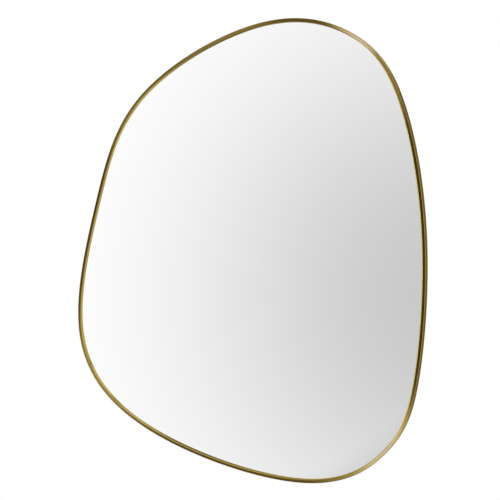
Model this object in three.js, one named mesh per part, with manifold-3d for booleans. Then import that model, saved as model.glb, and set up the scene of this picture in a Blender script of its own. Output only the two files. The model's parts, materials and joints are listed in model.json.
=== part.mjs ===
// Wall mirror with an irregular pebble outline: silvered glass in a slim brass-finished rim, on a
// fibreboard back with keyhole hangers.
//
// Millimetres. Z is up, X runs to the right of someone who looks into the mirror, and the mirror
// faces -Y. The origin lies on the wall plane, midway between the two upright hanging screws.
//
// The pieces are drawn as the mirror is put together, face up on a bench: x and y are the plane of
// the glass and z is the height above the wall plane. The last group turns all of it upright.

import * as THREE from 'three';
import { NURBSCurve } from 'three/addons/curves/NURBSCurve.js';
import { mergeVertices } from 'three/addons/utils/BufferGeometryUtils.js';
import Module from 'manifold-3d';

const wasm = await Module();
wasm.setup();

// ---------------------------------------------------------------------------------------------
// Driving dimensions
// ---------------------------------------------------------------------------------------------

const MIRROR_WIDTH = 737;            // over the rim
const MIRROR_HEIGHT = 900;           // over the rim
const OUTLINE_STATIONS = 160;        // steps round the outline

// Control polygon of the outline: a closed cubic curve runs just inside these corners. Only its
// proportions count, because the curve is then sized to the width and the height above.
const OUTLINE_POLYGON = [
  [378, 47], [356, -281], [306, -375], [170, -480], [-237, -388], [-405, -207],
  [-319, 108], [-258, 324], [55, 474], [232, 425], [321, 328],
];

const SEAT_GAP = 0.3;                // between pieces that touch
const CUT_OVERSHOOT = 1;             // how far a cutter runs past the face that it opens
const ARC_STEPS = 6;                 // steps in each arc of a flat piece's outline

// Rim
const RIM_FACE_WIDTH = 7.5;          // seen from the front
const RIM_BEVEL_WIDTH = 1.6;         // inner bevel of the face, next to the glass
const RIM_BEVEL_FALL = 0.28;         // how far the bevel falls from the crest of the face
const RIM_FACE_FALL = 1.3;           // how far the rest of the face falls away to the outside
const RIM_WALL = 2.5;
const RIM_LIP = 4;                   // thickness of the lip in front of the glass
const RIM_OUTER_RADIUS = 1.4;
const RIM_INNER_RADIUS = 0.4;
const RIM_BACK_CHAMFER = 0.5;
const RIM_ARC_STEPS = 2;             // pairs of steps in each rounded edge
const RIM_OVERHANG = 0.1;            // the rim's wall reaches this far behind the lugs' screws
const WALL_STANDOFF = 2;             // from the wall to the back of the rim

// Glass and backing board
const GLASS_THICKNESS = 4;
const GLASS_EDGE_CLEARANCE = 0.5;
const GLASS_ARRIS = 0.4;
const TAPE_THICKNESS = 0.8;
const TAPE_WIDTH = 25;
const TAPE_COUNT = 6;
const TAPE_MARGIN = 45;              // from the ends of a strip to the edge of the board
const BOARD_THICKNESS = 6;
const BOARD_CLEARANCE = 0.5;         // from the edge of the board to the lugs

// Screws
const SCREW_RADIUS = 1.5;
const SCREW_HEAD_RADIUS = 3;
const SCREW_HEAD_HEIGHT = 1.4;
const SCREW_HEAD_BEVEL = 0.8;
const SCREW_COVER = 1.3;             // board left in front of a screw's tip
const SCREW_POINT = 1.6;
const SCREW_SIDES = 12;

// Retaining lugs
const LUG_COUNT = 8;
const LUG_THICKNESS = 1.2;
const LUG_WIDTH = 16;
const LUG_REACH = 17;                // from the wall of the rim to the lug's tip
const LUG_BEND_RADIUS = 0.5;         // inside the bend
const LUG_BEND_STEPS = 3;
const LUG_HOLE_SETBACK = 6;          // from the lug's tip to its screw
const LUG_CORNER = 3;

// Keyhole hangers
const UPRIGHT_SPACING = 300;          // between the two screws of the upright pair
const UPRIGHT_RISE = 230;             // from the centre of the glass up to the upright pair
const SIDEWAYS_SPACING = 260;         // between the two screws of the sideways pair
const SIDEWAYS_RISE = 190;            // from the centre of the glass out to the sideways pair
const HANGER_THICKNESS = 1.5;
const HANGER_WIDTH = 20;
const HANGER_END_MARGIN = 7;         // from a hanger's end to its fixing screw
const KEYHOLE_ENTRY_RADIUS = 5;
const KEYHOLE_SLOT_WIDTH = 4.8;
const KEYHOLE_TRAVEL = 10;           // from the entry's centre to the seat of the wall screw
const KEYHOLE_SCREW_SPACE = 10;      // from the keyhole's ends to the fixing screws
const POCKET_DEPTH = 4;
const POCKET_MARGIN = 2;             // round the keyhole

// Wall pads
const PAD_COUNT = 4;
const PAD_RADIUS = 7;
const PAD_TAPER = 0.8;
const PAD_INSET = 34;                // from the outside of the rim to a pad's centre
const PAD_SIDES = 24;

const FINISHES = {
  brass: { color: 0xa9873f, roughness: 0.24, metalness: 1 },
  mirror: { color: 0xf2f4f4, roughness: 0.02, metalness: 1 },
  fibreboard: { color: 0x8b6a48, roughness: 0.85, metalness: 0 },
  foam: { color: 0xd9d9d4, roughness: 0.95, metalness: 0 },
  zinc: { color: 0xb4b7ba, roughness: 0.35, metalness: 1 },
  rubber: { color: 0x26272a, roughness: 0.8, metalness: 0 },
};

// ---------------------------------------------------------------------------------------------
// Heights above the wall, from the back of the mirror to its front
// ---------------------------------------------------------------------------------------------

const rimBack = WALL_STANDOFF;
const lugBack = rimBack + RIM_OVERHANG + SCREW_HEAD_HEIGHT + SEAT_GAP;
const lugFront = lugBack + LUG_THICKNESS;
const boardBack = lugFront + SEAT_GAP;
const boardFront = boardBack + BOARD_THICKNESS;
const tapeBack = boardFront + SEAT_GAP;
const glassBack = tapeBack + TAPE_THICKNESS + SEAT_GAP;
const glassFront = glassBack + GLASS_THICKNESS;
const lipBack = glassFront + SEAT_GAP;
const rimFront = lipBack + RIM_LIP;
const fittingFront = boardBack - SEAT_GAP;
const hangerBack = fittingFront - HANGER_THICKNESS;

// Distances inwards from the outside of the rim
const glassInset = RIM_WALL + GLASS_EDGE_CLEARANCE;
const lugInset = RIM_WALL + SEAT_GAP;
const boardInset = lugInset + LUG_THICKNESS + BOARD_CLEARANCE;

// ---------------------------------------------------------------------------------------------
// Outline
// ---------------------------------------------------------------------------------------------

// The outside of the rim as evenly spaced stations, each with its inward direction.
function makeOutline() {
  const degree = 3;
  const corners = OUTLINE_POLYGON.map(([x, y]) => new THREE.Vector4(x, y, 0, 1));
  corners.push(...corners.slice(0, degree));
  const knots = Array.from({ length: corners.length + degree + 1 }, (_, i) => i);
  const curve = new NURBSCurve(degree, knots, corners, degree, corners.length);
  curve.arcLengthDivisions = 4 * OUTLINE_STATIONS;
  const points = curve.getSpacedPoints(OUTLINE_STATIONS).slice(0, OUTLINE_STATIONS);

  const box = new THREE.Box2().setFromPoints(points);
  const size = box.getSize(new THREE.Vector2());
  const centre = box.getCenter(new THREE.Vector2());
  const scaled = points.map((p) => new THREE.Vector2(
    (p.x - centre.x) * MIRROR_WIDTH / size.x,
    (p.y - centre.y) * MIRROR_HEIGHT / size.y,
  ));
  return scaled.map((point, i) => {
    const before = scaled.at(i - 1);
    const after = scaled[(i + 1) % scaled.length];
    const along = after.clone().sub(before).normalize();
    return { point, inward: new THREE.Vector2(along.y, -along.x) };
  });
}

const outline = makeOutline();

function insetPoints(inset) {
  return outline.map(({ point, inward }) => point.clone().addScaledVector(inward, inset));
}

// A group on the outline, inset by a distance, with its x axis pointing inwards.
function stationGroup(share, inset) {
  const { point, inward } = outline[Math.round(share * outline.length) % outline.length];
  const group = new THREE.Group();
  group.position.set(point.x + inward.x * inset, point.y + inward.y * inset, 0);
  group.rotation.z = Math.atan2(inward.y, inward.x);
  return group;
}

// Centre of the area of the glass, which the hangers are set out from so that the mirror hangs
// level.
function centreOfGlass() {
  const ring = insetPoints(glassInset);
  const centre = new THREE.Vector2();
  let doubleArea = 0;
  ring.forEach((a, i) => {
    const b = ring[(i + 1) % ring.length];
    const cross = a.cross(b);
    doubleArea += cross;
    centre.addScaledVector(a.clone().add(b), cross);
  });
  return centre.divideScalar(3 * doubleArea);
}

// Lowest and highest y of the board on the line x = at.
function boardSpan(at) {
  const ring = insetPoints(boardInset);
  const crossings = [];
  ring.forEach((a, i) => {
    const b = ring[(i + 1) % ring.length];
    if ((a.x - at) * (b.x - at) < 0) {
      crossings.push(THREE.MathUtils.mapLinear(at, a.x, b.x, a.y, b.y));
    }
  });
  return [Math.min(...crossings), Math.max(...crossings)];
}

// ---------------------------------------------------------------------------------------------
// Geometry helpers
// ---------------------------------------------------------------------------------------------

// A flat piece: its shape in plan, from one height up to another.
function plate(shape, from, to) {
  const geometry = new THREE.ExtrudeGeometry(shape, {
    depth: to - from,
    bevelEnabled: false,
    curveSegments: ARC_STEPS,
  });
  return geometry.translate(0, 0, from);
}

// An upright cylinder on the z axis, from one height up to another.
function rod(radius, from, to) {
  const geometry = new THREE.CylinderGeometry(radius, radius, to - from, SCREW_SIDES);
  return geometry.rotateX(Math.PI / 2).translate(0, 0, (from + to) / 2);
}

function toManifold(geometry) {
  const bare = geometry.clone();
  bare.deleteAttribute('normal');
  bare.deleteAttribute('uv');
  const merged = mergeVertices(bare, 1e-4);
  return new wasm.Manifold(new wasm.Mesh({
    numProp: 3,
    vertProperties: new Float32Array(merged.attributes.position.array),
    triVerts: new Uint32Array(merged.index.array),
  }));
}

function cut(geometry, tools) {
  let solid = toManifold(geometry);
  for (const tool of tools) solid = solid.subtract(toManifold(tool));
  const { vertProperties, triVerts } = solid.getMesh();
  const result = new THREE.BufferGeometry();
  result.setAttribute('position', new THREE.BufferAttribute(vertProperties, 3));
  result.setIndex(new THREE.BufferAttribute(triVerts, 1));
  return result;
}

// Sweeps a closed section once round the outline. In the section, x is the distance inwards from
// the outside of the rim and y is the height above the wall.
function sweepRound(section) {
  const across = section.length;
  const positions = [];
  const triangles = [];
  outline.forEach(({ point, inward }, i) => {
    const next = (i + 1) % outline.length;
    section.forEach((s, j) => {
      positions.push(point.x + inward.x * s.x, point.y + inward.y * s.x, s.y);
      const a = i * across + j;
      const b = i * across + (j + 1) % across;
      const c = next * across + (j + 1) % across;
      const d = next * across + j;
      triangles.push(a, c, b, a, d, c);
    });
  });
  const geometry = new THREE.BufferGeometry();
  geometry.setAttribute('position', new THREE.Float32BufferAttribute(positions, 3));
  geometry.setIndex(triangles);
  return geometry;
}

function stadium(length, width, middle) {
  const r = width / 2;
  const half = length / 2 - r;
  const shape = new THREE.Shape();
  shape.absarc(0, middle + half, r, 0, Math.PI, false);
  shape.absarc(0, middle - half, r, Math.PI, 2 * Math.PI, false);
  return shape;
}

// ---------------------------------------------------------------------------------------------
// Scene
// ---------------------------------------------------------------------------------------------

const bench = new THREE.Group();

function addPiece(name, geometry, finish, parent = bench) {
  const mesh = new THREE.Mesh(geometry, new THREE.MeshStandardMaterial(FINISHES[finish]));
  mesh.name = name;
  parent.add(mesh);
  return mesh;
}

// --- Rim ---------------------------------------------------------------------------------------

// The face rises to a crest: a narrow bevel falls from it to the glass, and the rest falls away to
// a rounded outer edge. The lip stands in front of the glass and the wall runs down past the board.
function rimSection() {
  const crest = RIM_FACE_WIDTH - RIM_BEVEL_WIDTH;
  const fall = Math.atan2(RIM_FACE_FALL, crest);
  const bevel = Math.atan2(RIM_BEVEL_FALL, RIM_BEVEL_WIDTH);
  const section = new THREE.Shape();
  section.moveTo(RIM_BACK_CHAMFER, rimBack);
  section.lineTo(RIM_WALL, rimBack);
  section.lineTo(RIM_WALL, lipBack);
  section.lineTo(RIM_FACE_WIDTH, lipBack);
  roundEdge(section, RIM_FACE_WIDTH - RIM_INNER_RADIUS, RIM_BEVEL_FALL, RIM_INNER_RADIUS, bevel, 0);
  section.lineTo(crest, rimFront);
  roundEdge(section, RIM_OUTER_RADIUS, RIM_FACE_FALL, RIM_OUTER_RADIUS, fall, Math.PI / 2 + fall);
  section.lineTo(0, rimBack + RIM_BACK_CHAMFER);
  return section.getPoints(RIM_ARC_STEPS);
}

// Rounds the edge between a slope of the face, whose foot lies drop below the crest, and the
// upright beside it. The arc's centre is at x = middle and the arc begins at the angle from.
function roundEdge(section, middle, drop, radius, slope, from) {
  const height = rimFront - drop + radius * (Math.tan(slope) - 1 / Math.cos(slope));
  section.absarc(middle, height, radius, from, from + Math.PI / 2 - slope, false);
}

addPiece('rim', sweepRound(rimSection()), 'brass');

// --- Glass -------------------------------------------------------------------------------------

const glass = new THREE.ExtrudeGeometry(new THREE.Shape(insetPoints(glassInset)), {
  depth: GLASS_THICKNESS - 2 * GLASS_ARRIS,
  bevelThickness: GLASS_ARRIS,
  bevelSize: GLASS_ARRIS,
  bevelOffset: -GLASS_ARRIS,
  bevelSegments: 1,
});
addPiece('mirror_glass', glass.translate(0, 0, glassBack + GLASS_ARRIS), 'mirror');

// --- Foam tape ---------------------------------------------------------------------------------

for (let i = 0; i < TAPE_COUNT; i += 1) {
  const x = MIRROR_WIDTH * ((i + 1) / (TAPE_COUNT + 1) - 0.5);
  const [low, high] = boardSpan(x);
  const length = high - low - 2 * TAPE_MARGIN;
  const strip = new THREE.BoxGeometry(TAPE_WIDTH, length, TAPE_THICKNESS);
  strip.translate(x, (low + high) / 2, tapeBack + TAPE_THICKNESS / 2);
  addPiece(`foam_tape_${i + 1}`, strip, 'foam');
}

// --- Screws ------------------------------------------------------------------------------------

// A pan-head screw whose head lies from headFront towards the wall and whose point ends in the
// board.
function screw(headFront) {
  const tip = boardFront - SCREW_COVER;
  const back = headFront - SCREW_HEAD_HEIGHT;
  const profile = [
    [0, back],
    [SCREW_HEAD_RADIUS - SCREW_HEAD_BEVEL, back],
    [SCREW_HEAD_RADIUS, back + SCREW_HEAD_BEVEL],
    [SCREW_HEAD_RADIUS, headFront],
    [SCREW_RADIUS, headFront],
    [SCREW_RADIUS, tip - SCREW_POINT],
    [0, tip],
  ].map(([r, z]) => new THREE.Vector2(r, z));
  return new THREE.LatheGeometry(profile, SCREW_SIDES).rotateX(Math.PI / 2);
}

const pilotHoles = [];

function addScrew(name, headFront, parent, x, y) {
  const mesh = addPiece(name, screw(headFront), 'zinc', parent);
  mesh.position.set(x, y, 0);
  const holeEnd = boardFront - SCREW_COVER + SEAT_GAP;
  const hole = rod(SCREW_RADIUS + SEAT_GAP, boardBack - CUT_OVERSHOOT, holeEnd);
  parent.updateWorldMatrix(true, true);
  pilotHoles.push(hole.applyMatrix4(mesh.matrixWorld));
}

// --- Retaining lugs ----------------------------------------------------------------------------

// Bent from one strip: a leg that stands against the wall of the rim, as tall as the edge of the
// board, and a tongue over the back of the board. Drawn as a section, x inwards.
function lugGeometry() {
  const inner = LUG_BEND_RADIUS;
  const outer = LUG_BEND_RADIUS + LUG_THICKNESS;
  const section = new THREE.Shape();
  section.moveTo(0, boardFront);
  section.absarc(outer, lugBack + outer, outer, Math.PI, 1.5 * Math.PI, false);
  section.lineTo(LUG_REACH, lugBack);
  section.lineTo(LUG_REACH, lugFront);
  section.absarc(outer, lugBack + outer, inner, 1.5 * Math.PI, Math.PI, true);
  section.lineTo(LUG_THICKNESS, boardFront);
  const strip = new THREE.ExtrudeGeometry(section, {
    depth: LUG_WIDTH,
    bevelEnabled: false,
    curveSegments: LUG_BEND_STEPS,
  });
  strip.rotateX(Math.PI / 2).translate(0, LUG_WIDTH / 2, 0);

  const hole = rod(SCREW_RADIUS + SEAT_GAP, lugBack - CUT_OVERSHOOT, lugFront + CUT_OVERSHOOT);
  hole.translate(LUG_REACH - LUG_HOLE_SETBACK, 0, 0);
  return cut(strip, [hole, ...lugCorners()]);
}

// Triangular cutters that clip the two corners of the tongue.
function lugCorners() {
  const pastTip = LUG_REACH + CUT_OVERSHOOT;
  const pastSide = LUG_WIDTH / 2 + CUT_OVERSHOOT;
  return [-1, 1].map((side) => {
    const corner = new THREE.Shape();
    corner.moveTo(LUG_REACH - LUG_CORNER, side * pastSide);
    corner.lineTo(LUG_REACH - LUG_CORNER, side * LUG_WIDTH / 2);
    corner.lineTo(LUG_REACH, side * (LUG_WIDTH / 2 - LUG_CORNER));
    corner.lineTo(pastTip, side * (LUG_WIDTH / 2 - LUG_CORNER));
    corner.lineTo(pastTip, side * pastSide);
    return plate(corner, lugBack - CUT_OVERSHOOT, lugFront + CUT_OVERSHOOT);
  });
}

for (let i = 0; i < LUG_COUNT; i += 1) {
  const station = stationGroup((i + 0.5) / LUG_COUNT, lugInset);
  bench.add(station);
  addPiece(`retaining_lug_${i + 1}`, lugGeometry(), 'zinc', station);
  addScrew(`lug_screw_${i + 1}`, lugBack - SEAT_GAP, station, LUG_REACH - LUG_HOLE_SETBACK, 0);
}

// --- Keyhole hangers ---------------------------------------------------------------------------

// Drawn with the seat of the wall screw at the origin and the slot pointing to +y.
const keyholeTop = KEYHOLE_SLOT_WIDTH / 2;
const keyholeBottom = -KEYHOLE_TRAVEL - KEYHOLE_ENTRY_RADIUS;
const keyholeMiddle = (keyholeTop + keyholeBottom) / 2;
const hangerScrewOffset = (keyholeTop - keyholeBottom) / 2 + KEYHOLE_SCREW_SPACE;
const hangerLength = 2 * (hangerScrewOffset + HANGER_END_MARGIN);
const hangerScrewSpots = [keyholeMiddle - hangerScrewOffset, keyholeMiddle + hangerScrewOffset];

function hangerGeometry() {
  const shape = stadium(hangerLength, HANGER_WIDTH, keyholeMiddle);
  const half = KEYHOLE_SLOT_WIDTH / 2;
  const mouth = Math.asin(half / KEYHOLE_ENTRY_RADIUS);
  const keyhole = new THREE.Path();
  keyhole.absarc(
    0, -KEYHOLE_TRAVEL, KEYHOLE_ENTRY_RADIUS, Math.PI / 2 + mouth, 2.5 * Math.PI - mouth, false,
  );
  keyhole.absarc(0, 0, half, 0, Math.PI, false);
  shape.holes.push(keyhole);
  for (const y of hangerScrewSpots) {
    shape.holes.push(new THREE.Path().absarc(0, y, SCREW_RADIUS + SEAT_GAP, 0, 2 * Math.PI, false));
  }
  return plate(shape, hangerBack, fittingFront);
}

const centre = centreOfGlass();
const pockets = [];
let hangerScrews = 0;

function addHanger(name, x, y, turn) {
  const place = new THREE.Group();
  place.position.set(x, y, 0);
  place.rotation.z = turn;
  bench.add(place);
  const mesh = addPiece(name, hangerGeometry(), 'zinc', place);
  for (const spot of hangerScrewSpots) {
    hangerScrews += 1;
    addScrew(`hanger_screw_${hangerScrews}`, hangerBack - SEAT_GAP, place, 0, spot);
  }
  const length = keyholeTop - keyholeBottom + 2 * POCKET_MARGIN;
  const width = 2 * (KEYHOLE_ENTRY_RADIUS + POCKET_MARGIN);
  const mouth = stadium(length, width, keyholeMiddle);
  const pocket = plate(mouth, boardBack - CUT_OVERSHOOT, boardBack + POCKET_DEPTH);
  pockets.push(pocket.applyMatrix4(mesh.matrixWorld));
}

const uprightY = centre.y + UPRIGHT_RISE;
const sidewaysX = centre.x - SIDEWAYS_RISE;
addHanger('hanger_upright_left', centre.x - UPRIGHT_SPACING / 2, uprightY, 0);
addHanger('hanger_upright_right', centre.x + UPRIGHT_SPACING / 2, uprightY, 0);
addHanger('hanger_sideways_upper', sidewaysX, centre.y + SIDEWAYS_SPACING / 2, Math.PI / 2);
addHanger('hanger_sideways_lower', sidewaysX, centre.y - SIDEWAYS_SPACING / 2, Math.PI / 2);

// --- Backing board -----------------------------------------------------------------------------

const board = plate(new THREE.Shape(insetPoints(boardInset)), boardBack, boardFront);
addPiece('backing_board', cut(board, [...pockets, ...pilotHoles]), 'fibreboard');

// --- Wall pads ---------------------------------------------------------------------------------

for (let i = 0; i < PAD_COUNT; i += 1) {
  const station = stationGroup((i + 0.5) / PAD_COUNT, PAD_INSET);
  bench.add(station);
  const profile = [
    [0, 0],
    [PAD_RADIUS - PAD_TAPER, 0],
    [PAD_RADIUS, PAD_TAPER],
    [PAD_RADIUS, fittingFront],
    [0, fittingFront],
  ].map(([r, z]) => new THREE.Vector2(r, z));
  const pad = new THREE.LatheGeometry(profile, PAD_SIDES).rotateX(Math.PI / 2);
  addPiece(`wall_pad_${i + 1}`, pad, 'rubber', station);
}

// The origin is brought to the upright hanging line, and the bench is turned upright: y becomes
// the height and the face looks towards -Y.
bench.position.set(-centre.x, 0, -uprightY);
bench.rotation.x = Math.PI / 2;

const mirror = new THREE.Group();
mirror.add(bench);

export default mirror;
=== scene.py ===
"""Wall mirror with an irregular pebble outline: silvered glass in a slim brass rim, on a fibreboard back.

Metres, +Z up. The mirror faces -Y and its back lies along the wall plane y = 0.
"""

import json
import math

import bmesh
import bpy
from mathutils import Matrix, Vector


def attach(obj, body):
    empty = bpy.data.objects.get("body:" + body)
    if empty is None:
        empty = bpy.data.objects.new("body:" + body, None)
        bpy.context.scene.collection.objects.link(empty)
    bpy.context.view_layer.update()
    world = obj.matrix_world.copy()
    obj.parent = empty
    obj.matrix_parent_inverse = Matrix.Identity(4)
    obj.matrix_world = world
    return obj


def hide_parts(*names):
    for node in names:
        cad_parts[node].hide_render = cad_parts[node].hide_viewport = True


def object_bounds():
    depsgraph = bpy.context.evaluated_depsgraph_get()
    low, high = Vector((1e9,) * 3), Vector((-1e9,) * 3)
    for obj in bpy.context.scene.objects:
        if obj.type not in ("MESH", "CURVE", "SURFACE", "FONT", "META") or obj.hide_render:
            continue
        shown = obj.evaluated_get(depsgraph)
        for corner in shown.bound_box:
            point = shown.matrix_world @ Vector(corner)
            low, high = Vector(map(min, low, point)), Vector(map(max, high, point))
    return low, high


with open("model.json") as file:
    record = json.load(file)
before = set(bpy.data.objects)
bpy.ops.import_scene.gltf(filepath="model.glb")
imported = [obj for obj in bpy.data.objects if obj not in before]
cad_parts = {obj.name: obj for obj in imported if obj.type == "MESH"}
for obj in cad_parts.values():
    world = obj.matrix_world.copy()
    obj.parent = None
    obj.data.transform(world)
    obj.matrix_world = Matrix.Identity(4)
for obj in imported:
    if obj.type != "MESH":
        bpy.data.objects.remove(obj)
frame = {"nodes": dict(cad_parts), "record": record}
cad_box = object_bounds()

MM = 0.001

# ------------------------------------------------------------------------------------------------
# Driving values
# ------------------------------------------------------------------------------------------------

# Camera: the photograph's viewing angle
CAMERA_AZIMUTH = math.radians(21)
CAMERA_ELEVATION = math.radians(3)
CAMERA_DISTANCE = 1.965
CAMERA_LENS = 72                      # millimetres, on Blender's standard 36 mm sensor
CAMERA_AIM_RIGHT = 21.5 * MM          # from the middle of the mirror to the point in the frame's centre
CAMERA_AIM_UP = 3.8 * MM

# Floor
FLOOR_DROP = 0.9                      # below the bottom of the mirror, which hangs on a wall
FLOOR_SIZE = 60
FLOOR_SHADOW_REACH = 1.3              # the floor is plain paper to here,
FLOOR_FADE_END = 2.6                  # and has faded to the white backdrop here

# Light
WORLD_LEVEL = 0.78                    # what matt surfaces get from all round
LAMP_SIZE = 2.2
FRONT_POWER = 60
FRONT_PLACE = Vector((-1.6, -2.4, 2.2))   # from the middle of the mirror
BACK_POWER = 45
BACK_PLACE = Vector((1.8, 2.4, 2.0))

# Rim
RIM_RUN = 8 * MM                      # edges of the rim longer than this run along it
RIM_LEVEL = 0.01 * MM                 # corners that differ by less in depth are at one depth
RIM_FACET_ANGLE = math.radians(6)     # triangles that bend less than this are one face of the rim
RIM_FACET_SHAPE = math.radians(80)
BEVEL_TOP = 20.95 * MM                # the inner edge of the rim's face is between these distances
BEVEL_FOOT = 20.2 * MM                # from the wall, and it is drawn
BEVEL_DRESSED = 0.2 * MM              # this much nearer to the wall than the solid has it

# Fittings on the back
SAME_PLACE = 0.001 * MM
SHARP_ANGLE = math.radians(30)        # edges that bend more stay crisp
FLAT_ANGLE = math.radians(1)
CUT_EDGE_ANGLE = math.radians(50)     # edges that the press has cut
EDGE_ROUND = 0.15 * MM                # and that are deburred this much
EDGE_STEPS = 2
ROUND_STEPS = 5
HEAD_RADIUS = 2.95 * MM               # pan head of a screw
HEAD_HEIGHT = 1.4 * MM
HEAD_ROUND = 0.75 * MM
SHANK_RADIUS = 1.45 * MM
POINT_LENGTH = 1.6 * MM
POINT_TIP = 0.02                      # size of the tip against the shank
RECESS_SPAN = 3.3 * MM                # tip to tip of the cross in the head
RECESS_WIDTH = 0.8 * MM
RECESS_DEPTH = 0.95 * MM
RECESS_TAPER = 0.6                    # size of the recess at its floor against that at its mouth
SCREW_STEPS = 48
SCREW_TURN = math.radians(37)         # each screw stopped at another angle when it was driven in
PAD_STEPS = 72
PAD_ROUND = 0.8 * MM


# ------------------------------------------------------------------------------------------------
# Materials
# ------------------------------------------------------------------------------------------------

def linear(hex_colour):
    """An sRGB hex colour as linear red, green, blue and alpha."""
    channels = [int(hex_colour[i:i + 2], 16) / 255 for i in (1, 3, 5)]
    return [c / 12.92 if c <= 0.04045 else ((c + 0.055) / 1.055) ** 2.4 for c in channels] + [1]


def add(tree, kind, values=None, **settings):
    """Adds a node. values maps its inputs to numbers, colours or the outputs that feed them."""
    node = tree.nodes.new("ShaderNode" + kind)
    for name, setting in settings.items():
        setattr(node, name, setting)
    for name, value in (values or {}).items():
        if isinstance(value, bpy.types.NodeSocket):
            tree.links.new(value, node.inputs[name])
        else:
            node.inputs[name].default_value = value
    return node


def start(name):
    """A new material with one Principled shader, and the place on the piece in metres."""
    material = bpy.data.materials.new(name)
    material.use_nodes = True
    tree = material.node_tree
    tree.nodes.clear()
    shader = add(tree, "BsdfPrincipled")
    add(tree, "OutputMaterial", {"Surface": shader.outputs["BSDF"]})
    place = add(tree, "TexCoord").outputs["Object"]
    return material, tree, shader, place


def per(millimetres):
    """Texture scale at which one feature measures that many millimetres."""
    return 1 / (millimetres * MM)


def satin_brass():
    # Brass-plated metal bar, lightly satin polished and lacquered: warm dull gold that turns
    # pale where it meets the light, with a faint cloudiness 45 mm across and a slightly uneven
    # polish. The polishing marks are far finer than a pixel, and drawn 1.6 mm long so that they show.
    material, tree, shader, place = start("satin_brass_plate")
    cloud = add(tree, "TexNoise", {"Vector": place, "Scale": per(45), "Detail": 3.0})
    tint = add(tree, "MixRGB", {"Fac": cloud.outputs["Fac"], "Color1": linear("#bca55b"),
                                "Color2": linear("#c7af63")})
    polish = add(tree, "TexNoise", {"Vector": place, "Scale": per(1.6), "Detail": 4.0})
    rough = add(tree, "MapRange", {"Value": polish.outputs["Fac"], "To Min": 0.11, "To Max": 0.16})
    peel = add(tree, "Bump", {"Height": polish.outputs["Fac"], "Strength": 0.05, "Distance": 0.02 * MM})
    shader.inputs["Metallic"].default_value = 1.0
    shader.inputs["Specular Tint"].default_value = linear("#e4d7b0")
    tree.links.new(tint.outputs["Color"], shader.inputs["Base Color"])
    tree.links.new(rough.outputs["Result"], shader.inputs["Roughness"])
    tree.links.new(peel.outputs["Normal"], shader.inputs["Normal"])
    return material


def silvered_glass():
    # Clear float glass, silvered on its back: a colourless, even mirror with the least haze. The cut
    # edge, where one looks along the sheet, is the green of iron in the glass. The faces look along
    # Y and the arris halfway, so the green starts there.
    material, tree, shader, place = start("silvered_float_glass")
    normal = add(tree, "SeparateXYZ", {"Vector": add(tree, "NewGeometry").outputs["Normal"]})
    facing = add(tree, "Math", {0: normal.outputs["Y"]}, operation="ABSOLUTE")
    face = add(tree, "MapRange", {"Value": facing.outputs["Value"], "From Min": 0.6, "From Max": 0.8})
    tint = add(tree, "MixRGB", {"Fac": face.outputs["Result"], "Color1": linear("#5f8f7c"),
                                "Color2": linear("#fcfcfc")})
    haze = add(tree, "TexNoise", {"Vector": place, "Scale": per(120), "Detail": 2.0})
    rough = add(tree, "MapRange", {"Value": haze.outputs["Fac"], "To Min": 0.004, "To Max": 0.012})
    shader.inputs["Metallic"].default_value = 1.0
    tree.links.new(tint.outputs["Color"], shader.inputs["Base Color"])
    tree.links.new(rough.outputs["Result"], shader.inputs["Roughness"])
    return material


def fibreboard():
    # Hard fibreboard, wet-pressed: a tight brown felt of wood fibres with darker specks of bark, and
    # a slight sheen from the hot platen. The fibres are 0.1 mm thick, and their felt is drawn at
    # 1.4 mm so that it shows. The colour drifts over 60 mm.
    material, tree, shader, place = start("pressed_fibreboard")
    felt = add(tree, "TexNoise", {"Vector": place, "Scale": per(1.4), "Detail": 5.0, "Roughness": 0.7})
    patches = add(tree, "TexNoise", {"Vector": place, "Scale": per(60), "Detail": 3.0})
    base = add(tree, "MixRGB", {"Fac": patches.outputs["Fac"], "Color1": linear("#83623f"),
                                "Color2": linear("#8f6d49")})
    fibres = add(tree, "ValToRGB", {"Fac": felt.outputs["Fac"]})
    fibres.color_ramp.elements[0].position = 0.35
    fibres.color_ramp.elements[0].color = linear("#b9b0a6")
    fibres.color_ramp.elements[1].position = 0.7
    fibres.color_ramp.elements[1].color = linear("#ffffff")
    speck = add(tree, "TexVoronoi", {"Vector": place, "Scale": per(5)})
    dark = add(tree, "MapRange", {"Value": speck.outputs["Distance"], "From Min": 0.08, "From Max": 0.16,
                                  "To Min": 0.72, "To Max": 1.0})
    mixed = add(tree, "MixRGB", {"Fac": 1.0, "Color1": base.outputs["Color"],
                                 "Color2": fibres.outputs["Color"]}, blend_type="MULTIPLY")
    final = add(tree, "MixRGB", {"Fac": 1.0, "Color1": mixed.outputs["Color"],
                                 "Color2": dark.outputs["Result"]}, blend_type="MULTIPLY")
    rough = add(tree, "MapRange", {"Value": felt.outputs["Fac"], "To Min": 0.5, "To Max": 0.68})
    bump = add(tree, "Bump", {"Height": felt.outputs["Fac"], "Strength": 0.35, "Distance": 0.12 * MM})
    tree.links.new(final.outputs["Color"], shader.inputs["Base Color"])
    tree.links.new(rough.outputs["Result"], shader.inputs["Roughness"])
    tree.links.new(bump.outputs["Normal"], shader.inputs["Normal"])
    return material


def closed_cell_foam():
    # White polyethylene foam tape, blown and slit: closed cells of 0.9 mm that show as pale bubbles
    # in a matt skin.
    material, tree, shader, place = start("polyethylene_foam")
    cells = add(tree, "TexVoronoi", {"Vector": place, "Scale": per(0.9)})
    tint = add(tree, "MixRGB", {"Fac": cells.outputs["Distance"], "Color1": linear("#e2e2dc"),
                                "Color2": linear("#c4c4bd")})
    bump = add(tree, "Bump", {"Height": cells.outputs["Distance"], "Strength": 0.4, "Distance": 0.1 * MM})
    shader.inputs["Roughness"].default_value = 0.9
    tree.links.new(tint.outputs["Color"], shader.inputs["Base Color"])
    tree.links.new(bump.outputs["Normal"], shader.inputs["Normal"])
    return material


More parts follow.
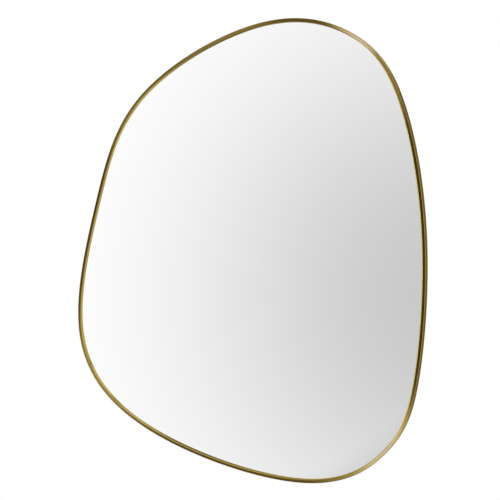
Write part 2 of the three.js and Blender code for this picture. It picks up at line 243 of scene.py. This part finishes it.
def zinc_plate(name, streak_mm, low, high):
    # Mild steel, rolled or drawn, then zinc plated and blue passivated: cool bright grey, cloudy
    # over 7 mm, with a faint drag of the rolling direction, eight times as long as wide. The drag
    # is drawn wider than the real scratches so that it shows.
    material, tree, shader, place = start(name)
    along = add(tree, "Mapping", {"Vector": place, "Scale": (1.0, 1.0, 0.12)})
    drag = add(tree, "TexNoise", {"Vector": along.outputs["Vector"], "Scale": per(streak_mm),
                                  "Detail": 4.0})
    cloud = add(tree, "TexNoise", {"Vector": place, "Scale": per(7), "Detail": 3.0})
    tint = add(tree, "MixRGB", {"Fac": cloud.outputs["Fac"], "Color1": linear("#a9adb3"),
                                "Color2": linear("#c6c8c6")})
    rough = add(tree, "MapRange", {"Value": drag.outputs["Fac"], "To Min": low, "To Max": high})
    bump = add(tree, "Bump", {"Height": drag.outputs["Fac"], "Strength": 0.15, "Distance": 0.03 * MM})
    shader.inputs["Metallic"].default_value = 1.0
    tree.links.new(tint.outputs["Color"], shader.inputs["Base Color"])
    tree.links.new(rough.outputs["Result"], shader.inputs["Roughness"])
    tree.links.new(bump.outputs["Normal"], shader.inputs["Normal"])
    return material


def moulded_rubber():
    # Black rubber bumper, moulded in a spark-eroded tool: matt, with a fine grain, drawn at 0.8 mm
    # so that it shows, and a little grey bloom.
    material, tree, shader, place = start("moulded_rubber")
    grain = add(tree, "TexNoise", {"Vector": place, "Scale": per(0.8), "Detail": 3.0})
    bloom = add(tree, "TexNoise", {"Vector": place, "Scale": per(9), "Detail": 2.0})
    tint = add(tree, "MixRGB", {"Fac": bloom.outputs["Fac"], "Color1": linear("#1d1e20"),
                                "Color2": linear("#34353a")})
    rough = add(tree, "MapRange", {"Value": grain.outputs["Fac"], "To Min": 0.62, "To Max": 0.85})
    bump = add(tree, "Bump", {"Height": grain.outputs["Fac"], "Strength": 0.3, "Distance": 0.06 * MM})
    tree.links.new(tint.outputs["Color"], shader.inputs["Base Color"])
    tree.links.new(rough.outputs["Result"], shader.inputs["Roughness"])
    tree.links.new(bump.outputs["Normal"], shader.inputs["Normal"])
    return material


SHEET_ZINC = zinc_plate("zinc_plated_sheet", 0.7, 0.24, 0.42)
SCREW_ZINC = zinc_plate("zinc_plated_screw", 0.4, 0.2, 0.32)
MATERIALS = {
    "rim_brass": satin_brass(),
    "silvered_glass": silvered_glass(),
    "fibreboard": fibreboard(),
    "foam_tape": closed_cell_foam(),
    "zinc_steel": SHEET_ZINC,
    "screw_steel": SCREW_ZINC,
    "rubber": moulded_rubber(),
}
NODE_SLOTS = {part["node"]: part["material_slot"] for part in frame["record"]["subparts"]}


# ------------------------------------------------------------------------------------------------
# Pieces
# ------------------------------------------------------------------------------------------------

def dress(obj, slot_name):
    """Gives an object the finish for the record's slot."""
    obj.data.materials.clear()
    obj.data.materials.append(MATERIALS[slot_name])


def solid_of(node):
    """The node's solid as a bmesh, with its loose triangles joined up."""
    bm = bmesh.new()
    bm.from_mesh(frame["nodes"][node].data)
    bmesh.ops.remove_doubles(bm, verts=bm.verts, dist=SAME_PLACE)
    return bm


def link(bm, name):
    """Turns a bmesh into an object of the scene."""
    mesh = bpy.data.meshes.new(name)
    bm.to_mesh(mesh)
    bm.free()
    obj = bpy.data.objects.new(name, mesh)
    bpy.context.scene.collection.objects.link(obj)
    return obj


def finish_piece(bm, name, node):
    """Turns a bmesh into the piece that stands for a node."""
    piece = link(bm, name)
    dress(piece, NODE_SLOTS[node])
    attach(piece, "root")
    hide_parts(node)
    return piece


def smooth_faces(bm):
    """Shades the faces smooth, and keeps the edges that bend sharply."""
    for face in bm.faces:
        face.smooth = True
    for edge in bm.edges:
        edge.smooth = edge.is_manifold and edge.calc_face_angle() < SHARP_ANGLE


def keep_normals_flat(piece):
    """Large faces keep their own normals, so that the shading is flat up to the rounded edges."""
    weighted = piece.modifiers.new("flat_faces", "WEIGHTED_NORMAL")
    weighted.keep_sharp = True


def make_rim():
    """The rim's own solid, made smooth along its length while its section stays crisp."""
    bm = solid_of("rim")
    bmesh.ops.join_triangles(bm, faces=bm.faces, angle_face_threshold=RIM_FACET_ANGLE,
                             angle_shape_threshold=RIM_FACET_SHAPE)
    for vert in bm.verts:
        if BEVEL_FOOT < -vert.co.y < BEVEL_TOP:
            vert.co.y += BEVEL_DRESSED
    smooth_faces(bm)
    crease = bm.edges.layers.float.new("crease_edge")
    front = min(v.co.y for v in bm.verts)
    for edge in bm.edges:
        level = abs(edge.verts[0].co.y - edge.verts[1].co.y) < RIM_LEVEL
        if level and edge.calc_length() > RIM_RUN:
            edge[crease] = 1.0
            if abs(edge.verts[0].co.y - front) < RIM_LEVEL:    # the crest of the face
                edge.smooth = False
    rim = finish_piece(bm, "rim_polished", "rim")
    subdivision = rim.modifiers.new("smooth_run", "SUBSURF")
    subdivision.levels = subdivision.render_levels = 2
    keep_normals_flat(rim)


def make_fitting(node):
    """A stamped sheet-steel fitting: the node's own solid with its edges deburred."""
    bm = solid_of(node)
    bmesh.ops.dissolve_limit(bm, angle_limit=FLAT_ANGLE, verts=bm.verts, edges=bm.edges)
    sharp = [e for e in bm.edges if e.calc_face_angle() > CUT_EDGE_ANGLE]
    bmesh.ops.bevel(bm, geom=sharp, offset=EDGE_ROUND, offset_type="OFFSET", segments=EDGE_STEPS,
                    profile=0.5, affect="EDGES", clamp_overlap=True, material=-1)
    smooth_faces(bm)
    keep_normals_flat(finish_piece(bm, node + "_deburred", node))


def box_of(node):
    """Low corner and high corner of a node's solid."""
    corners = [v.co for v in frame["nodes"][node].data.vertices]
    low = Vector([min(c[i] for c in corners) for i in range(3)])
    high = Vector([max(c[i] for c in corners) for i in range(3)])
    return low, high


def round_top(bm, width):
    """Rounds the edge of a turned piece's top, which lies at z = 0."""
    top = [e for e in bm.edges if all(abs(v.co.z) < SAME_PLACE for v in e.verts)]
    bmesh.ops.bevel(bm, geom=top, offset=width, offset_type="OFFSET", segments=ROUND_STEPS, profile=0.5,
                    affect="EDGES", clamp_overlap=True, material=-1)


def extend(bm, face, length, scale=1.0):
    """Draws a face out downwards and scales it about the axis; returns the face at the new end."""
    end = bmesh.ops.extrude_face_region(bm, geom=[face])["geom"]
    bmesh.ops.delete(bm, geom=[face], context="FACES_ONLY")
    corners = [item for item in end if isinstance(item, bmesh.types.BMVert)]
    bmesh.ops.translate(bm, verts=corners, vec=(0, 0, -length))
    bmesh.ops.scale(bm, verts=corners, vec=(scale, scale, 1))
    return next(item for item in end if isinstance(item, bmesh.types.BMFace))


def disc(radius, height, steps):
    """A disc with its top at z = 0."""
    bm = bmesh.new()
    bmesh.ops.create_cone(bm, cap_ends=True, segments=steps, radius1=radius, radius2=radius, depth=height)
    bmesh.ops.translate(bm, verts=bm.verts, vec=(0, 0, -height / 2))
    return bm


def screw_blank(length):
    """A pan-head screw with its head's top at z = 0 and its point downwards."""
    bm = disc(HEAD_RADIUS, HEAD_HEIGHT, SCREW_STEPS)
    under = min(bm.faces, key=lambda face: face.calc_center_median().z)
    bmesh.ops.inset_region(bm, faces=[under], thickness=HEAD_RADIUS - SHANK_RADIUS)
    under = extend(bm, under, length - HEAD_HEIGHT - POINT_LENGTH)
    extend(bm, under, POINT_LENGTH, POINT_TIP)
    round_top(bm, HEAD_ROUND)
    return bm


def cross_cutter():
    """The solid that a driver's cross-shaped tip fills, tapered towards the screw's point."""
    bm = bmesh.new()
    bmesh.ops.create_cube(bm, size=1)
    bmesh.ops.scale(bm, verts=bm.verts, vec=(RECESS_WIDTH, RECESS_WIDTH, 2 * RECESS_DEPTH))
    sides = [face for face in bm.faces if abs(face.normal.z) < 0.5]
    arms = bmesh.ops.extrude_discrete_faces(bm, faces=sides)["faces"]
    for arm in arms:
        bmesh.ops.translate(bm, verts=arm.verts, vec=arm.normal * (RECESS_SPAN - RECESS_WIDTH) / 2)
    floor = [v for v in bm.verts if v.co.z < 0]
    bmesh.ops.scale(bm, verts=floor, vec=(RECESS_TAPER, RECESS_TAPER, 1))
    return bm


def cut_recess(blank):
    """The screw's mesh with the cross pressed into its head."""
    screw = link(blank, "screw_blank")
    cutter = link(cross_cutter(), "cross_cutter")
    cut = screw.modifiers.new("recess", "BOOLEAN")
    cut.operation = "DIFFERENCE"
    cut.object = cutter
    view = bpy.context.evaluated_depsgraph_get()
    mesh = bpy.data.meshes.new_from_object(screw.evaluated_get(view))
    bpy.data.objects.remove(screw)
    bpy.data.objects.remove(cutter)
    return mesh


def place_turned(bm, node, name, turn):
    """Puts a piece made along Z in its node's place, with its top towards the wall."""
    low, high = box_of(node)
    middle = (low + high) / 2
    stand = Matrix.Rotation(-math.pi / 2, 4, "X") @ Matrix.Rotation(turn, 4, "Z")
    there = Matrix.Translation((middle.x, high.y, middle.z))
    bmesh.ops.transform(bm, matrix=there @ stand, verts=bm.verts)
    smooth_faces(bm)
    keep_normals_flat(finish_piece(bm, name, node))


def make_screws():
    """One cross-head screw for each screw node; screws of one length share their shape."""
    driven = [name for name in sorted(frame["nodes"]) if "_screw_" in name]
    blanks = {}
    for count, node in enumerate(driven):
        low, high = box_of(node)
        length = round(high.y - low.y, 5)    # to a hundredth of a millimetre
        if length not in blanks:
            blanks[length] = cut_recess(screw_blank(length))
        bm = bmesh.new()
        bm.from_mesh(blanks[length])
        place_turned(bm, node, node + "_cross_head", count * SCREW_TURN)


def make_pad(node):
    """A moulded rubber disc with a soft edge towards the wall."""
    low, high = box_of(node)
    bm = disc((high.x - low.x) / 2, high.y - low.y, PAD_STEPS)
    round_top(bm, PAD_ROUND)
    place_turned(bm, node, node + "_moulded", 0)


make_rim()
make_screws()
for name in sorted(frame["nodes"]):
    if name.startswith(("retaining_lug", "hanger_upright", "hanger_sideways")):
        make_fitting(name)
    if name.startswith("wall_pad"):
        make_pad(name)

for name, obj in frame["nodes"].items():
    if not obj.hide_render:
        dress(obj, NODE_SLOTS[name])


# ------------------------------------------------------------------------------------------------
# Floor, world and lamps
# ------------------------------------------------------------------------------------------------

def make_floor():
    """A sheet of pale paper that runs out into the white backdrop."""
    bm = bmesh.new()
    bmesh.ops.create_grid(bm, x_segments=1, y_segments=1, size=FLOOR_SIZE / 2)
    floor = link(bm, "floor")
    floor.location.z = cad_box[0].z - FLOOR_DROP

    material, tree, shader, place = start("pale_paper")
    shader.inputs["Base Color"].default_value = linear("#f4f4f3")
    shader.inputs["Roughness"].default_value = 0.9
    away = add(tree, "VectorMath", {0: place}, operation="LENGTH")
    fade = add(tree, "MapRange", {"Value": away.outputs["Value"], "From Min": FLOOR_SHADOW_REACH,
                                  "From Max": FLOOR_FADE_END}, interpolation_type="SMOOTHSTEP")
    white = add(tree, "Emission", {"Color": linear("#ffffff"), "Strength": 1.0})
    mix = add(tree, "MixShader", {"Fac": fade.outputs["Result"], 1: shader.outputs["BSDF"],
                                  2: white.outputs["Emission"]})
    tree.links.new(mix.outputs["Shader"], tree.nodes["Material Output"].inputs["Surface"])
    floor.data.materials.append(material)
    # The mirror looks past the floor into the room.
    floor.visible_glossy = False
    floor.visible_diffuse = False


# What a shiny surface sees of the room, as soft round patches laid one over the other. Each has
# its middle, as the azimuth from straight in front of the mirror towards its right and the
# elevation; how far from the middle it is whole, and where it has gone; its colour and its level.
# Angles are in degrees. From the camera's side the glass looks between 31 and 11 degrees to the
# left, the outer slope of the rim's face looks out round the glass, and the bevel looks across it.
# The room is made up. Its patches were set from where each part of the rim and the glass
# looks and how bright the photograph is there, so they suit that view and no real room. A level
# over 1 is brighter than white.
ROOM_BASE = "#736c61"
ROOM_PATCHES = (
    (0, 90, 20, 45, "#ffffff", 0.8),          # pale ceiling
    (-15, -80, 22, 38, "#f4ead2", 0.5),       # wooden floor
    (98, 2, 12, 30, "#fffaf0", 0.42),         # side wall, for the side of the rim
    (-100, 2, 12, 30, "#fffaf0", 0.5),        # and the one across from it
    (-45, 18, 10, 17, "#fff6e6", 0.28),       # far top of the window wall: face, upper left
    (-34, 30, 3, 9, "#fff6e6", 0.45),         # blind over the window: face, top left
    (-51, -21, 5, 16, "#fff6e0", 0.52),       # low cupboard: face, lower left
    (-54, 2, 4, 11, "#443f35", 1.0),          # dark curtain: face, left
    (-76, 0, 12, 19, "#f4f4f2", 0.70),        # pale wall to the left: rounded edge, left
    (-24, -1, 15.5, 20, "#ffffff", 1.025),    # window: all of the glass
    (-41, -3, 7, 11, "#e2e8ff", 2.1),         # its sunlit jamb: bevel, right
    (-37, 8, 2, 5, "#e2e8ff", 1.8),           # top of the jamb: bevel, lower right
    (-37, -14, 3, 7, "#e2e8ff", 1.5),         # sill: bevel, upper right
    (-13, 17, 3, 9, "#fffdf8", 0.85),         # pale picture rail: bevel, bottom
    (-9, 14, 4, 9, "#fffdf8", 0.98),          # lit wall under the rail: bevel, lower left
    (-9, -5.5, 1, 25, "#fffeff", 0.605),      # wall falling into shade: the glass's right side
    (-3, -17, 2, 6, "#fffdf8", 0.75),         # lit foot of that wall: bevel, upper left
    (42, 0, 16, 30, "#fffdf8", 1.05),         # pale wall to the right: rounded edge, right
    (20, 27, 7, 13, "#f4f6ff", 1.4),          # its upper corner
    (22, -24, 6, 12, "#f4f6ff", 1.4),         # its lower corner
    (-3, 7, 4, 9, "#fffdf8", 0.96),           # lit wall, further down: bevel, left
    (1, -1, 4, 9, "#fffdf8", 0.94),           # and its end: bevel, left
    (10, 17, 3, 10, "#fff6e6", 0.40),         # lintel: face, upper right
    (-1, 29, 3, 10, "#ffffff", 1.15),         # upper light: highlight on the face, upper right
    (-1, 29, 0, 7.5, "#a9acff", 3.0),         # its cold middle
    (-9, -38, 2, 9, "#fff6e6", 0.48),         # glow round the lower light: face, bottom
    (4, -30, 4, 15, "#ffffff", 1.15),         # lower light: highlight on the face, lower right
    (4, -30, 0, 10, "#a9acff", 3.0),          # its cold middle
    (165, -1, 18, 28, "#90846e", 1.0),        # strip of wall in shade: outer side of the rim, right
)
# A dark upright post, as a column of patches: the outer slope of the face, right
POST_HEIGHTS = range(-13, 9, 3)
ROOM_PATCHES += tuple((13.8, height, 2.8, 6.4, "#36312a", 1.0) for height in POST_HEIGHTS)
BEHIND_START = 0.35                       # the white backdrop begins this far behind the mirror's
BEHIND_FULL = 0.75                        # plane, as the part of the direction that points backwards


def direction_of(azimuth, elevation):
    """The direction that has this azimuth and elevation, both in radians."""
    level = math.cos(elevation)
    return Vector((math.sin(azimuth) * level, -math.cos(azimuth) * level, math.sin(elevation)))


def make_world():
    """White to the camera, even light on matt surfaces, and the room on shiny ones."""
    world = bpy.data.worlds.new("studio")
    bpy.context.scene.world = world
    world.use_nodes = True
    tree = world.node_tree
    tree.nodes.clear()

    look = add(tree, "TexCoord").outputs["Generated"]
    backwards = add(tree, "SeparateXYZ", {"Vector": look}).outputs["Y"]
    behind = add(tree, "MapRange", {"Value": backwards, "From Min": BEHIND_START, "From Max": BEHIND_FULL},
                 interpolation_type="SMOOTHSTEP")
    room = add(tree, "MixRGB", {"Fac": behind.outputs["Result"], "Color1": linear(ROOM_BASE),
                                "Color2": (1, 1, 1, 1)})
    for azimuth, elevation, whole, gone, colour, level in ROOM_PATCHES:
        middle = direction_of(math.radians(azimuth), math.radians(elevation))
        near = add(tree, "VectorMath", {0: look, 1: middle}, operation="DOT_PRODUCT")
        apart = add(tree, "Math", {0: near.outputs["Value"]}, operation="ARCCOSINE")
        share = add(tree, "MapRange", {"Value": apart.outputs["Value"], "From Min": math.radians(gone),
                                       "From Max": math.radians(whole)}, interpolation_type="SMOOTHSTEP")
        light = [level * channel for channel in linear(colour)[:3]] + [1]
        room = add(tree, "MixRGB", {"Fac": share.outputs["Result"], "Color1": room.outputs["Color"],
                                    "Color2": light})

    path = add(tree, "LightPath")
    shiny = add(tree, "Math", {0: path.outputs["Is Glossy Ray"], 1: path.outputs["Is Transmission Ray"]},
                operation="MAXIMUM")
    plain = (WORLD_LEVEL, WORLD_LEVEL, WORLD_LEVEL, 1)
    seen = add(tree, "MixRGB", {"Fac": shiny.outputs["Value"], "Color1": plain,
                                "Color2": room.outputs["Color"]})
    final = add(tree, "MixRGB", {"Fac": path.outputs["Is Camera Ray"], "Color1": seen.outputs["Color"],
                                 "Color2": (1, 1, 1, 1)})
    background = add(tree, "Background", {"Color": final.outputs["Color"], "Strength": 1.0})
    add(tree, "OutputWorld", {"Surface": background.outputs["Background"]})


def make_lamp(name, place, power):
    """A large soft lamp that looks at the mirror, and that nothing shows or reflects."""
    data = bpy.data.lights.new(name, "AREA")
    data.size = LAMP_SIZE
    data.energy = power
    lamp = bpy.data.objects.new(name, data)
    centre = (cad_box[0] + cad_box[1]) / 2
    lamp.location = centre + place
    lamp.rotation_mode = "QUATERNION"
    lamp.rotation_quaternion = (-place).to_track_quat("-Z", "Y")
    lamp.visible_glossy = False
    lamp.visible_camera = False
    bpy.context.scene.collection.objects.link(lamp)


def make_camera():
    low, high = cad_box
    aim = Vector(((low.x + high.x) / 2 + CAMERA_AIM_RIGHT, low.y, (low.z + high.z) / 2 + CAMERA_AIM_UP))
    back = direction_of(CAMERA_AZIMUTH, CAMERA_ELEVATION)
    data = bpy.data.cameras.new("camera")
    data.lens = CAMERA_LENS
    camera = bpy.data.objects.new("camera", data)
    camera.location = aim + back * CAMERA_DISTANCE
    camera.rotation_mode = "QUATERNION"
    camera.rotation_quaternion = (-back).to_track_quat("-Z", "Y")
    bpy.context.scene.collection.objects.link(camera)
    bpy.context.scene.camera = camera


make_floor()
make_world()
make_lamp("front", FRONT_PLACE, FRONT_POWER)
make_lamp("back", BACK_PLACE, BACK_POWER)
make_camera()
bpy.context.scene.view_settings.view_transform = "Standard"
